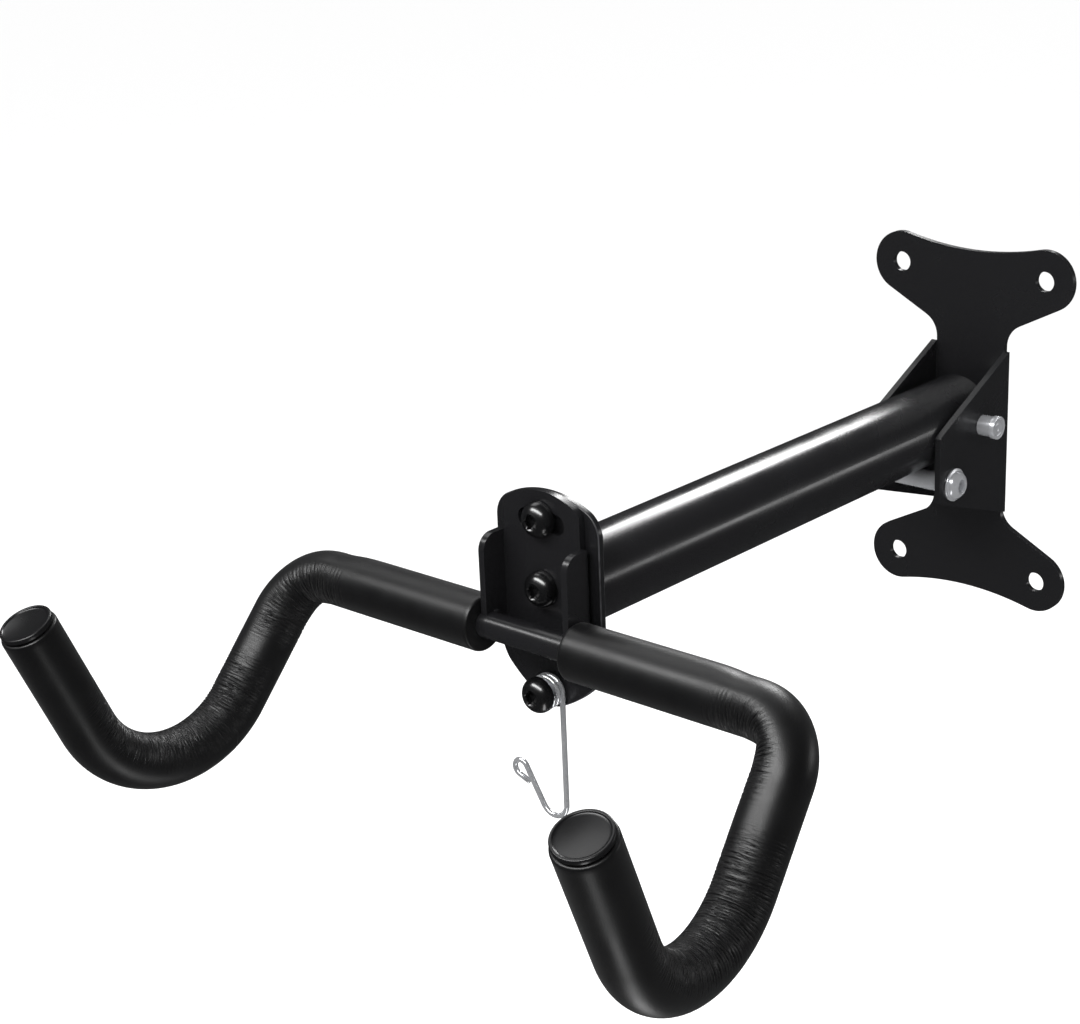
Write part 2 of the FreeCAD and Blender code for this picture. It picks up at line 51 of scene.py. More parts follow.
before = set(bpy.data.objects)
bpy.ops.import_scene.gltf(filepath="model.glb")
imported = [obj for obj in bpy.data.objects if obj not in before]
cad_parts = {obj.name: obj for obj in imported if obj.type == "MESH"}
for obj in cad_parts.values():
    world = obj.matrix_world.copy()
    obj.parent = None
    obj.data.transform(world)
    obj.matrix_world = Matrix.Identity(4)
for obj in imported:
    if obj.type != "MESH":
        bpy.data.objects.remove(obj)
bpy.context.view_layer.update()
MM = 0.001

# Points nearer than this are joined into one, in metres.
MERGE_DISTANCE = 2e-6
# A bend of a smaller radius than this squeezes the foam on it, in metres.
TIGHT_BEND = 0.03
# How far the end of a threaded shank is drawn past its last turn, in metres.
TIP_CHAMFER = 0.00025
# Longest thread of a bolt, in metres.
THREAD_LENGTH = 0.014
# A thread's depth as a share of its pitch, and a head's flat crown as one of its socket.
THREAD_SHARE = 0.54
CROWN_SHARE = 0.66
# Every so many outside rings of a sleeve have a ring in the bore.
BORE_RING_STEP = 14
# Where the fold noise of the left and right sleeve is read.
FOLD_SEEDS = {-1: 9.1, 1: 3.7}
# Short creases on the left sleeve: along, around, width, slant, depth.
LEFT_NICKS = ((0.171, 2.2, 0.5, 0.0030, 0.0005), (0.182, 3.4, 0.4, -0.0030, 0.0004),
              (0.262, 1.0, 0.6, 0.0010, 0.0006))
# How strongly specks and pores show beside the waves and wrinkles.
SPECK_SHARE = 0.45
PORE_SHARE = 0.12
# Hair wrinkles are this dense along the sleeve and around it.
HAIR_STRETCH = (1250.0, 5.0, 1.0)
# Names that join the meshes to their materials.
EDGE_MARK, FOLD_MARK, SKIN_LAYOUT = "rounded_edge", "wrinkled", "Lengthwise"
FLOAT, VECTOR, VECTOR_MATHS = "NodeSocketFloat", "NodeSocketVector", "ShaderNodeVectorMath"
# The material that each of the record's slots is painted with.
FINISHES = {
    "black_powder_coat": "Black powder coat",
    "black_bolt": "Blackened bolt steel",
    "zinc_steel": "Zinc plate",
    "bright_wire": "Bright wire",
    "foam": "Foam skin",
    "cap_plastic": "Moulded cap plastic",
}
# Soft lights around LIT_POINT: name, direction, distance, size, power.
LIT_POINT = (0.0, -0.25, 0.0)
LIGHTS = (
    ("Back top light", (-0.32, 0.75, 0.58), 1.5, (0.45, 0.30), 11.0),
    ("Front top strip", (-0.10, -0.66, 0.68), 1.4, (1.80, 0.30), 24.0),
    ("Back right strip", (0.66, 0.75, 0.05), 1.5, (0.5, 0.14), 1.3),
    ("Low front strip", (0.30, -0.34, -0.88), 0.55, (0.10, 0.4), 0.42),
    ("Cap light", (-0.56, 0.14, 0.81), 1.5, (0.9, 0.7), 3.2),
)


# ------------------------------------------------------------------ settings
def length(name, description, default, **limits):
    return FloatProperty(name=name, description=description, default=default,
                         unit="LENGTH", precision=5, **limits)


def place(name, description, default):
    return FloatVectorProperty(name=name, description=description, default=default,
                               size=3, subtype="TRANSLATION", unit="LENGTH", precision=5)


def colour(name, description, default):
    return FloatVectorProperty(name=name, description=description, default=default,
                               size=4, subtype="COLOR", min=0.0, max=1.0)


def angle(name, description, degrees):
    return FloatProperty(name=name, description=description,
                         default=math.radians(degrees), subtype="ANGLE")


class FinishSettings(bpy.types.PropertyGroup):
    coat: colour("Powder coat", "Colour of the coated steel", (0.0078, 0.0078, 0.0086, 1.0))
    # Painted highlight: a lighter coat colour for the rounded edges.
    coat_edge_highlight: colour("Coat on edges", "Painted highlight on the rounded edges",
                      (0.045, 0.045, 0.048, 1.0))
    coat_roughness: FloatProperty(name="Coat roughness", description="0 is a mirror",
                                  default=0.24, min=0.05, max=1.0)
    bolt: colour("Black bolts", "Colour of the blackened bolts", (0.003, 0.003, 0.0033, 1.0))
    zinc: colour("Zinc", "Colour of the plated hardware", (0.64, 0.65, 0.67, 1.0))
    wire: colour("Wire", "Colour of the bright wire", (0.80, 0.81, 0.83, 1.0))
    foam: colour("Foam skin", "Colour of the foam sleeves", (0.0018, 0.0018, 0.0020, 1.0))
    foam_roughness: FloatProperty(name="Foam roughness", description="0 is a mirror",
                                  default=0.37, min=0.05, max=1.0)
    cap: colour("End caps", "Colour of the moulded caps", (0.0032, 0.0032, 0.0035, 1.0))


class SheetSettings(bpy.types.PropertyGroup):
    edge: length("Edge radius", "How far cut sheet edges are rounded over", 0.00045)
    edge_steps: IntProperty(name="Edge steps", description="Facets across a rounded edge",
                            default=3, min=1, max=6)


class ArmSettings(bpy.types.PropertyGroup):
    bead: length("Weld bead", "Radius of the weld beads", 0.0021)
    ripples: IntProperty(name="Ripples", description="Ripples around the arm's weld",
                         default=46, min=8, max=120)


class BoltSettings(bpy.types.PropertyGroup):
    shank: length("Shank", "Diameter of the bolts", 0.008)
    pitch: length("Pitch", "Pitch of the thread", 0.00125)
    head: length("Head", "Diameter of the black button heads", 0.0155)
    head_height: length("Head height", "Height of the black button heads", 0.0062)
    socket: length("Socket", "Across the flats of the key socket", 0.006)
    nut: length("Nut", "Across the flats of the nuts", 0.013)
    pin_shoulder: length("Pin shoulder", "Diameter of the pin beside its head", 0.0102)
    pin_standoff: length("Pin standoff", "Length of the pin's shoulder", 0.007)
    nut_height: length("Nut height", "Thickness of the nuts", 0.0065)


class FoamSettings(bpy.types.PropertyGroup):
    radius: length("Radius", "Outside radius of the foam sleeves", 0.01225)
    bore: length("Bore", "Inside radius of the foam sleeves", 0.00605)
    start: place("Start", "Centre of the right sleeve's inner end", (0.025, -0.3342, -0.007))
    shoulder: place("Shoulder", "Corner where the hook turns down", (0.136, -0.3342, -0.007))
    low: place("Low corner", "Corner under the cradle", (0.1445, -0.422, -0.113))
    tip: place("Tip", "Outer face of the right cap", (0.1497, -0.4732, 0.0086))
    shoulder_bend: length("Shoulder bend", "Bend radius at the shoulder", 0.025)
    cradle_bend: length("Cradle bend", "Bend radius of the cradle", 0.0445)
    fold_depth: length("Fold depth", "Depth of the fine folds inside a bend", 0.00070)
    fold_spacing: length("Fold spacing", "Distance between folds on the centre line", 0.0019)
    around: IntProperty(name="Points around", description="Points around a sleeve",
                        default=84, min=24, max=160)
    step: length("Ring spacing", "Distance between rings in a bend", 0.00032)


class CapSettings(bpy.types.PropertyGroup):
    radius: length("Radius", "Radius of the end caps", 0.0114)
    thickness: length("Thickness", "Height of the caps outside the foam", 0.003)
    rim: length("Rim", "Width of the raised rim", 0.0012)
    dish: length("Dish", "Depth of the hollow face", 0.0014)


class StageSettings(bpy.types.PropertyGroup):
    floor: length("Floor", "Height of the floor", -0.62)
    floor_width: length("Floor width", "Width of the floor", 60.0)
    floor_colour: colour("Floor colour", "Colour of the floor", (0.93, 0.93, 0.93, 1.0))
    camera: place("Camera", "Where the camera stands", (0.58483, -0.95506, 0.34751))
    azimuth: angle("Azimuth", "Direction the camera stands in, from the front", 42.87)
    elevation: angle("Elevation", "How steeply the camera looks down", 19.42)
    roll: angle("Roll", "Tilt of the camera about its own axis", -2.45)
    lens: FloatProperty(name="Lens", description="Focal length", default=75.45,
                        unit="CAMERA", min=10.0, max=300.0)


SETTINGS = {
    "rack_finish": FinishSettings,
    "rack_sheet": SheetSettings,
    "rack_arm": ArmSettings,
    "rack_bolt": BoltSettings,
    "rack_foam": FoamSettings,
    "rack_cap": CapSettings,
    "rack_stage": StageSettings,
}


# ------------------------------------------------------------- shader helpers
def add_node(tree, kind, **values):
    """A new node with its properties set; keys that start with in_ set inputs."""
    node = tree.nodes.new(kind)
    for key, value in values.items():
        if key.startswith("in_"):
            node.inputs[key[3:].replace("_", " ")].default_value = value
        else:
            setattr(node, key, value)
    return node


def join(tree, source, target):
    tree.links.new(source, target)


def calculate(tree, operation, first, second, kind="ShaderNodeMath"):
    """Combine a socket with another, or with a plain value; gives the result's socket."""
    node = add_node(tree, kind, operation=operation)
    join(tree, first, node.inputs[0])
    if isinstance(second, bpy.types.NodeSocket):
        join(tree, second, node.inputs[1])
    else:
        node.inputs[1].default_value = second
    return node.outputs[0]


def remap(tree, value, before, after=(0.0, 1.0), **values):
    """Stretch value from the range before to the range after, and stop at its ends."""
    node = add_node(tree, "ShaderNodeMapRange", clamp=True, **values)
    ends = zip(("From Min", "From Max", "To Min", "To Max"), (*before, *after))
    for end, number in ends:
        node.inputs[end].default_value = number
    join(tree, value, node.inputs["Value"])
    return node.outputs["Result"]


def object_coords(tree):
    return add_node(tree, "ShaderNodeTexCoord").outputs["Object"]


def add_noise(tree, vector, **values):
    node = add_node(tree, "ShaderNodeTexNoise", **values)
    join(tree, vector, node.inputs["Vector"])
    return node


def new_group(name, inputs, outputs):
    """An empty shader node group with its sockets, and its two end nodes."""
    tree = bpy.data.node_groups.new(name, "ShaderNodeTree")
    for label, kind, default in inputs:
        socket = tree.interface.new_socket(label, in_out="INPUT", socket_type=kind)
        if default is not None:
            socket.default_value = default
    for label, kind in outputs:
        tree.interface.new_socket(label, in_out="OUTPUT", socket_type=kind)
    return tree, tree.nodes.new("NodeGroupInput"), tree.nodes.new("NodeGroupOutput")


def orange_peel_group():
    """The faint waves and specks of a sprayed or moulded surface."""
    tree, given, out = new_group(
        "Orange Peel",
        [("Wave Scale", FLOAT, 900.0), ("Speck Scale", FLOAT, 4200.0)],
        [("Height", FLOAT), ("Mottle", FLOAT)],
    )
    coords = object_coords(tree)
    wave = add_noise(tree, coords, in_Detail=2.0, in_Roughness=0.5)
    speck = add_noise(tree, coords, in_Detail=1.0, in_Roughness=0.6)
    patch = add_noise(tree, coords, in_Scale=38.0, in_Detail=3.0)
    join(tree, given.outputs["Wave Scale"], wave.inputs["Scale"])
    join(tree, given.outputs["Speck Scale"], speck.inputs["Scale"])
    specks = calculate(tree, "MULTIPLY", speck.outputs["Fac"], SPECK_SHARE)
    height = calculate(tree, "ADD", wave.outputs["Fac"], specks)
    join(tree, height, out.inputs["Height"])
    join(tree, patch.outputs["Fac"], out.inputs["Mottle"])


def edge_highlight_group():
    """A mask of the rounded edges, broken up, where a finish gets a painted highlight."""
    tree, given, out = new_group("Edge Highlight", [("Break Scale", FLOAT, 260.0)], [("Mask", FLOAT)])
    edges = add_node(tree, "ShaderNodeAttribute", attribute_name=EDGE_MARK)
    breaks = add_noise(tree, object_coords(tree), in_Detail=4.0)
    join(tree, given.outputs["Break Scale"], breaks.inputs["Scale"])
    keep = remap(tree, breaks.outputs["Fac"], (0.30, 0.62), (0.35, 1.0))
    mask = calculate(tree, "MULTIPLY", edges.outputs["Fac"], keep)
    join(tree, mask, out.inputs["Mask"])


def fine_scratch_group():
    """Long thin marks of drawing, turning or tumbling."""
    tree, given, out = new_group(
        "Fine Scratches",
        [("Stretch", VECTOR, (60.0, 2400.0, 2400.0))],
        [("Height", FLOAT), ("Mottle", FLOAT)],
    )
    coords = object_coords(tree)
    scaled = calculate(tree, "MULTIPLY", coords, given.outputs["Stretch"], VECTOR_MATHS)
    marks = add_noise(tree, scaled, in_Scale=1.0, in_Detail=4.0, in_Roughness=0.65)
    patch = add_noise(tree, coords, in_Scale=180.0, in_Detail=3.0)
    join(tree, marks.outputs["Fac"], out.inputs["Height"])
    join(tree, patch.outputs["Fac"], out.inputs["Mottle"])


def skin_group():
    """The pored skin of the foam, with hair-fine wrinkles where the mesh is marked."""
    tree, given, out = new_group(
        "Foam Skin",
        [("Pore Scale", FLOAT, 3000.0), ("Wrinkle", FLOAT, 1.0)],
        [("Height", FLOAT), ("Mottle", FLOAT)],
    )
    coords = object_coords(tree)
    pores = add_node(tree, "ShaderNodeTexVoronoi", feature="F1")
    join(tree, coords, pores.inputs["Vector"])
    join(tree, given.outputs["Pore Scale"], pores.inputs["Scale"])
    soft = calculate(tree, "MULTIPLY", pores.outputs["Distance"], PORE_SHARE)
    layout = add_node(tree, "ShaderNodeUVMap", uv_map=SKIN_LAYOUT)
    scaled = calculate(tree, "MULTIPLY", layout.outputs["UV"], HAIR_STRETCH, VECTOR_MATHS)
    hairs = add_noise(tree, scaled, in_Scale=1.0, in_Detail=3.0, in_Roughness=0.6,
                      in_Distortion=0.35)
    crisp = remap(tree, hairs.outputs["Fac"], (0.40, 0.54), interpolation_type="SMOOTHSTEP")
    marked = add_node(tree, "ShaderNodeAttribute", attribute_name=FOLD_MARK)
    mask = calculate(tree, "MULTIPLY", marked.outputs["Fac"], given.outputs["Wrinkle"])
    lines = calculate(tree, "MULTIPLY", crisp, mask)
    join(tree, calculate(tree, "ADD", soft, lines), out.inputs["Height"])
    patch = add_noise(tree, coords, in_Scale=55.0, in_Detail=4.0)
    join(tree, patch.outputs["Fac"], out.inputs["Mottle"])


def new_material(name):
    material = bpy.data.materials.new(name)
    material.use_nodes = True
    tree = material.node_tree
    return material, tree, tree.nodes["Principled BSDF"]


def place_group(tree, group, **values):
    return add_node(tree, "ShaderNodeGroup", node_tree=bpy.data.node_groups[group], **values)


def spread(tree, value, low, high, target):
    """Feed value, which varies about a half, to target as a number from low to high."""
    join(tree, remap(tree, value, (0.3, 0.7), (low, high)), target)


def colour_mix(tree, mask, low, high, target):
    """Mix two colours by a mask; the node has sockets for other kinds of value too."""
    mix = add_node(tree, "ShaderNodeMix", data_type="RGBA")
    colours = [s for s in mix.inputs if s.type == "RGBA"]
    factor = [s for s in mix.inputs if s.name == "Factor" and s.type == "VALUE"][0]
    result = [s for s in mix.outputs if s.type == "RGBA"][0]
    colours[0].default_value = low
    colours[1].default_value = high
    join(tree, mask, factor)
    join(tree, result, target)


def raise_bumps(tree, height, strength, distance, target):
    bump = add_node(tree, "ShaderNodeBump", in_Strength=strength, in_Distance=distance)
    join(tree, height, bump.inputs["Height"])
    join(tree, bump.outputs["Normal"], target)


def powder_coat(finish):
    material, tree, shader = new_material("Black powder coat")
    peel = place_group(tree, "Orange Peel")
    painted_edge_highlight = place_group(tree, "Edge Highlight")
    # Painted highlight: the rounded edges get the lighter edge colour.
    colour_mix(tree, painted_edge_highlight.outputs["Mask"], finish.coat, finish.coat_edge_highlight,
               shader.inputs["Base Color"])
    rough = finish.coat_roughness
    spread(tree, peel.outputs["Mottle"], rough - 0.04, rough + 0.05,
           shader.inputs["Roughness"])
    raise_bumps(tree, peel.outputs["Height"], 0.10, 0.00005, shader.inputs["Normal"])
    shader.inputs["IOR"].default_value = 1.5
    return material


def black_bolt(finish):
    material, tree, shader = new_material("Blackened bolt steel")
    marks = place_group(tree, "Orange Peel", in_Wave_Scale=700.0, in_Speck_Scale=2600.0)
    painted_edge_highlight = place_group(tree, "Edge Highlight", in_Break_Scale=420.0)
    # Painted highlight: the bolts' rounded edges get a lighter grey.
    colour_mix(tree, painted_edge_highlight.outputs["Mask"], finish.bolt, (0.10, 0.10, 0.11, 1.0),
               shader.inputs["Base Color"])
    spread(tree, marks.outputs["Mottle"], 0.20, 0.28, shader.inputs["Roughness"])
    raise_bumps(tree, marks.outputs["Height"], 0.12, 0.00005, shader.inputs["Normal"])
    shader.inputs["IOR"].default_value = 1.75
    return material


def plated(name, tint, metal, low, high, stretch):
    """Bright plated metal with faint lengthwise marks."""
    material, tree, shader = new_material(name)
    marks = place_group(tree, "Fine Scratches", in_Stretch=stretch)
    darker = (tint[0] * 0.90, tint[1] * 0.90, tint[2] * 0.91, 1.0)
    colour_mix(tree, marks.outputs["Mottle"], darker, tint, shader.inputs["Base Color"])
    shader.inputs["Metallic"].default_value = metal
    spread(tree, marks.outputs["Height"], low, high, shader.inputs["Roughness"])
    raise_bumps(tree, marks.outputs["Height"], 0.05, 0.00002, shader.inputs["Normal"])
    return material


def foam_skin(finish):
    material, tree, shader = new_material("Foam skin")
    skin = place_group(tree, "Foam Skin")
    pale = tuple(2.0 * c for c in finish.foam[:3]) + (1.0,)
    colour_mix(tree, skin.outputs["Mottle"], finish.foam, pale, shader.inputs["Base Color"])
    rough = finish.foam_roughness
    spread(tree, skin.outputs["Mottle"], rough - 0.04, rough + 0.06,
           shader.inputs["Roughness"])
    raise_bumps(tree, skin.outputs["Height"], 0.80, 0.00024, shader.inputs["Normal"])
    shader.inputs["IOR"].default_value = 1.5
    shader.inputs["Sheen Weight"].default_value = 0.04
    shader.inputs["Sheen Roughness"].default_value = 0.4
    return material


def cap_plastic(finish):
    material, tree, shader = new_material("Moulded cap plastic")
    peel = place_group(tree, "Orange Peel", in_Wave_Scale=520.0, in_Speck_Scale=3600.0)
    pale = tuple(1.8 * c for c in finish.cap[:3]) + (1.0,)
    colour_mix(tree, peel.outputs["Mottle"], finish.cap, pale, shader.inputs["Base Color"])
    spread(tree, peel.outputs["Mottle"], 0.24, 0.33, shader.inputs["Roughness"])
    raise_bumps(tree, peel.outputs["Height"], 0.14, 0.00005, shader.inputs["Normal"])
    return material


def floor_paint(stage):
    material, tree, shader = new_material("Pale floor")
    peel = place_group(tree, "Orange Peel", in_Wave_Scale=3.0, in_Speck_Scale=14.0)
    tint = stage.floor_colour
    darker = tuple(0.985 * c for c in tint[:3]) + (1.0,)
    colour_mix(tree, peel.outputs["Mottle"], darker, tint, shader.inputs["Base Color"])
    shader.inputs["Roughness"].default_value = 0.9
    shader.inputs["Specular IOR Level"].default_value = 0.1
    return material


# ----------------------------------------------------------------- mesh helpers
def link_piece(name, mesh):
    piece = bpy.data.objects.new(name, mesh)
    bpy.context.scene.collection.objects.link(piece)
    return piece


def finished(piece, material):
    """Give a piece its one material."""
    piece.data.materials.clear()
    piece.data.materials.append(bpy.data.materials[material])


def attach(piece, body, slot, *nodes):
    """Paint a piece, let it ride on its body and stand for the CAD nodes."""
    finished(piece, FINISHES[slot])
    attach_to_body(piece, body)
    if nodes:
        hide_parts(*nodes)


def attach_rounded(body, slot, width, steps, *nodes):
    """Attach copies of CAD nodes whose sharp edges are rounded over."""
    for node in nodes:
        attach(rounded_copy(node, width, steps), body, slot, node)


class Shape:
    """Points and faces of one mesh, built up ring by ring."""

    def __init__(self):
        self.points = []
        self.faces = []

    def loft(self, rings, looped=False, close_start=False, close_end=False):
        """Skin a row of equal rings of points; looped joins the last to the first."""
        first = len(self.points)
        count = len(rings[0])
        for ring in rings:
            self.points.extend([Vector(p) for p in ring])
        rows = len(rings) if looped else len(rings) - 1
        for i in range(rows):
            a = first + i * count
            b = first + ((i + 1) % len(rings)) * count
            for j in range(count):
                k = (j + 1) % count
                self.faces.append((a + j, a + k, b + k, b + j))
        if close_start:
            self.faces.append(tuple(first + j for j in reversed(range(count))))
        if close_end:
            last = first + (len(rings) - 1) * count
            self.faces.append(tuple(last + j for j in range(count)))

    def stand(self, base, direction):
        """Move everything, drawn around +Z, to stand on base along direction."""
        turn = Vector(direction).to_track_quat("Z", "Y").to_matrix().to_4x4()
        whole = Matrix.Translation(Vector(base)) @ turn
        self.points = [whole @ p for p in self.points]

    def piece(self, name, sharp_degrees=35.0):
        """The shape as an object, smooth except at edges sharper than the angle."""
        mesh = bpy.data.meshes.new(name)
        mesh.from_pydata([tuple(p) for p in self.points], [], self.faces)
        mesh.validate()
        mesh.shade_smooth()
        mesh.set_sharp_from_angle(angle=math.radians(sharp_degrees))
        return link_piece(name, mesh)


def round_ring(radius, height, count):
    turn = 2 * math.pi / count
    return [(radius * math.cos(j * turn), radius * math.sin(j * turn), height)
            for j in range(count)]


def hex_ring(across_flats, height, count, round_limit=None):
    """A hexagon as a ring of points; round_limit trims its corners to a circle."""
    turn = 2 * math.pi / count
    ring = []
    for j in range(count):
        a = j * turn
        off = (a % (math.pi / 3)) - math.pi / 6
        radius = across_flats / 2 / math.cos(off)
        if round_limit is not None:
            radius = min(radius, round_limit)
        ring.append((radius * math.cos(a), radius * math.sin(a), height))
    return ring


def rounded_copy(node, width, steps):
    """A copy of a CAD node with its sharp edges rounded over."""
    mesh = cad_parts[node].data.copy()
    work = bmesh.new()
    work.from_mesh(mesh)
    bmesh.ops.remove_doubles(work, verts=work.verts, dist=MERGE_DISTANCE)
    bmesh.ops.dissolve_limit(work, angle_limit=math.radians(0.6), verts=work.verts,
                             edges=work.edges)
    work.to_mesh(mesh)
    work.free()
    mesh.shade_smooth()
    mesh.materials.clear()
    # The second slot only tells the bevel's faces from the rest.
    for slot in ("black_powder_coat", "zinc_steel"):
        mesh.materials.append(bpy.data.materials[FINISHES[slot]])
    mesh.polygons.foreach_set("material_index", [0] * len(mesh.polygons))
    piece = link_piece(node + "_detail", mesh)
    bevel = piece.modifiers.new("Round edges", "BEVEL")
    bevel.material = 1
    bevel.width = width
    bevel.segments = steps
    bevel.limit_method = "ANGLE"
    bevel.angle_limit = math.radians(38)
    bevel.use_clamp_overlap = True
    bevel.miter_outer = "MITER_ARC"
    weight = piece.modifiers.new("Flat faces stay flat", "WEIGHTED_NORMAL")
    weight.keep_sharp = False
    apply_modifiers(piece)
    # The bevel's faces are marked for the painted edge highlight, and then painted as the rest.
    count = len(piece.data.polygons)
    marks = np.zeros(count, np.int32)
    piece.data.polygons.foreach_get("material_index", marks)
    layer = piece.data.attributes.new(EDGE_MARK, "FLOAT", "FACE")
    layer.data.foreach_set("value", (marks == 1).astype(np.float32))
    piece.data.polygons.foreach_set("material_index", [0] * count)
    return piece


def smooth_copy(node):
    """A copy of a node's mesh, joined up and shaded as one smooth skin."""
    work = bmesh.new()
    work.from_mesh(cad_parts[node].data)
    bmesh.ops.remove_doubles(work, verts=work.verts, dist=MERGE_DISTANCE)
    mesh = bpy.data.meshes.new(node + "_detail")
    work.to_mesh(mesh)
    work.free()
    mesh.shade_smooth()
    mesh.set_sharp_from_angle(angle=math.radians(45.0))
    return link_piece(node + "_detail", mesh)


def apply_modifiers(piece):
    graph = bpy.context.evaluated_depsgraph_get()
    graph.update()
    result = bpy.data.meshes.new_from_object(piece.evaluated_get(graph), depsgraph=graph)
    piece.modifiers.clear()
    piece.data = result


def node_centre(node):
    low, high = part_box(node)
    return (low + high) / 2


# --------------------------------------------------------------- turned hardware
def add_thread(shape, radius, pitch, start, end, count=36):
    """A threaded shank from height start down to end, closed with a chamfered tip."""
    depth = THREAD_SHARE * pitch
    rows = max(4, int((start - end) / pitch * 8))
    rings = []
    for i in range(rows + 1):
        height = start + (end - start) * i / rows
        fade = min(1.0, (height - end) / pitch)
        ring = []
        for j in range(count):
            a = 2 * math.pi * j / count
            phase = (height / pitch - j / count) % 1.0
            groove = 2 * abs(phase - 0.5)
            r = radius - depth * groove * min(1.0, i / 4) - 0.5 * depth * (1 - fade)
            ring.append((r * math.cos(a), r * math.sin(a), height))
        rings.append(ring)
    rings.append(round_ring(radius - 1.5 * depth, end - 0.2 * MM, count))
    rings.append(round_ring(0.3 * radius, end - 0.25 * MM, count))
    shape.loft(rings, close_end=True)


def add_socket_head(shape, base, head, height, socket, count=72):
    """A domed head on Z = 0: rim, dome, land, chamfered hexagon socket."""
    crown = socket * CROWN_SHARE
    corner = socket / math.sqrt(3)
    rim = 0.0012
    steps = 14
    profile = [(0.004, 0.0), (base - 0.0003, 0.0), (base - 0.00008, 0.0001)]
    profile += [(base, 0.0003), (base, rim * 0.6), (base - 0.0001, rim * 0.75)]
    top = math.acos(crown / head)
    for k in range(steps + 1):
        a = top * k / steps
        rise = (height - 0.00006 - rim) * math.sin(a) / math.sin(top)
        profile.append((head * math.cos(a), rim + rise))
    profile += [(crown - 0.0001, height), (corner + 0.00030, height - 0.00002)]
    profile += [(corner + 0.00018, height - 0.00008)]
    rings = [round_ring(radius, z, count) for radius, z in profile]
    for flats, depth in ((socket, 0.0006), (socket, 0.0030), (socket * 0.86, 0.00315)):
        rings.append(hex_ring(flats, height - depth, count))
    rings.append(round_ring(0.0004, height - 0.0038, count))
    shape.loft(rings, close_end=True)


def bolt_piece(name, bolt, seat, direction, reach, base, head, height):
    """A socket-head bolt whose head stands on seat and whose shank runs back reach."""
    shape = Shape()
    add_socket_head(shape, base, head, height, bolt.socket)
    shank = bolt.shank / 2
    plain = -max(0.0005, reach - THREAD_LENGTH)
    shape.loft([round_ring(shank, 0.0, 36), round_ring(shank, plain, 36)])
    add_thread(shape, shank, bolt.pitch, plain, -reach)
    shape.stand(seat, direction)
    return shape.piece(name)


def nut_piece(name, bolt, base, direction):
    """A hexagon nut with chamfered corners and a countersunk, plain bore."""
    count, steps = 72, 4
    flats, tall, bore = bolt.nut, bolt.nut_height, bolt.shank / 2
    corner = flats / math.sqrt(3)
    chamfer = (corner - flats / 2 * 0.96) * 0.55
    lower, upper = [], []
    for k in range(steps + 1):
        limit = flats / 2 * 0.95 + (corner - flats / 2 * 0.95) * k / steps
        lower.append(hex_ring(flats, chamfer * k / steps, count, limit))
        upper.insert(0, hex_ring(flats, tall - chamfer * k / steps, count, limit))
    rings = [round_ring(bore + 0.0002, 0.0, count)] + lower + upper
    for wider, depth in ((0.0007, 0.0), (0.0001, 0.0006), (0.0001, 0.0016)):
        rings.append(round_ring(bore + wider, tall - depth, count))
    shape = Shape()
    shape.loft(rings)
    shape.stand(base, direction)
    return shape.piece(name, 28.0)


# ----------------------------------------------------------------- foam sleeves
class Route:
    """A centre line of straight runs and arcs, with what its bends do to a sleeve."""

    def __init__(self, corners, radii):
        self.parts = []
        self.bends = []
        travelled = 0.0
        here = corners[0]
        for k in range(1, len(corners) - 1):
            corner = corners[k]
            back = (corners[k - 1] - corner).normalized()
            ahead = (corners[k + 1] - corner).normalized()
            half = back.angle(ahead) / 2
            radius = radii[k - 1]
            reach = radius / math.tan(half)
            bend_start = corner + back * reach
            run = (bend_start - here).length
            self.parts.append(("run", travelled, run, here, -back))
            travelled += run
            centre = corner + (back + ahead).normalized() * (radius / math.sin(half))
            sweep = math.pi - 2 * half
            outward = (bend_start - centre).normalized()
            self.parts.append(("arc", travelled, radius * sweep, centre, outward, -back, radius))
            end = travelled + radius * sweep
            self.bends.append((travelled, end, (-back).cross(ahead), radius))
            travelled = end
            here = corner + ahead * reach
        heading = (corners[-1] - here).normalized()
        run = (corners[-1] - here).length
        self.parts.append(("run", travelled, run, here, heading))
        self.length = travelled + run

    def at(self, s):
        """Place and heading of the point s along the route."""
        for part in self.parts:
            if s <= part[1] + part[2] or part is self.parts[-1]:
                break
        t = s - part[1]
        if part[0] == "run":
            return part[3] + part[4] * t, part[4].copy()
        turned = t / part[6]
        place_ = part[3] + (part[4] * math.cos(turned) + part[5] * math.sin(turned)) * part[6]
        return place_, part[5] * math.cos(turned) - part[4] * math.sin(turned)

    def stations(self, fine, coarse, margin):
        """Distances along the route, close together in and near the bends."""
        stations = [0.0]
        while stations[-1] < self.length:
            s = stations[-1]
            near = any(a - margin < s < b + margin for a, b, _, _ in self.bends)
            stations.append(s + (fine if near else coarse))
        stations[-1] = self.length
        return stations


def smooth(value):
    value = np.clip(value, 0.0, 1.0)
    return value * value * (3 - 2 * value)


def mirrored(point, side):
    """A point of the right hook, or for side -1 the same point of the left hook."""
    return Vector((side * point[0], point[1], point[2]))


def full_turn(count):
    return np.linspace(0, 2 * math.pi, count, endpoint=False)


def carried_frames(route, stations):
    """Centre, heading and two cross axes at each station, carried without twist."""
    frames = []
    across = Vector((0, 0, 1))
    for s in stations:
        centre, heading = route.at(s)
        across = (across - heading * across.dot(heading)).normalized()
        frames.append((centre, heading, across, heading.cross(across)))
    return frames


def cross_ring(here, radii, turns):
    """The ring of points around one carried frame, with a radius for each turn."""
    centre, _, across, up = here
    return [centre + across * (r * math.cos(a)) + up * (r * math.sin(a))
            for r, a in zip(radii, turns)]


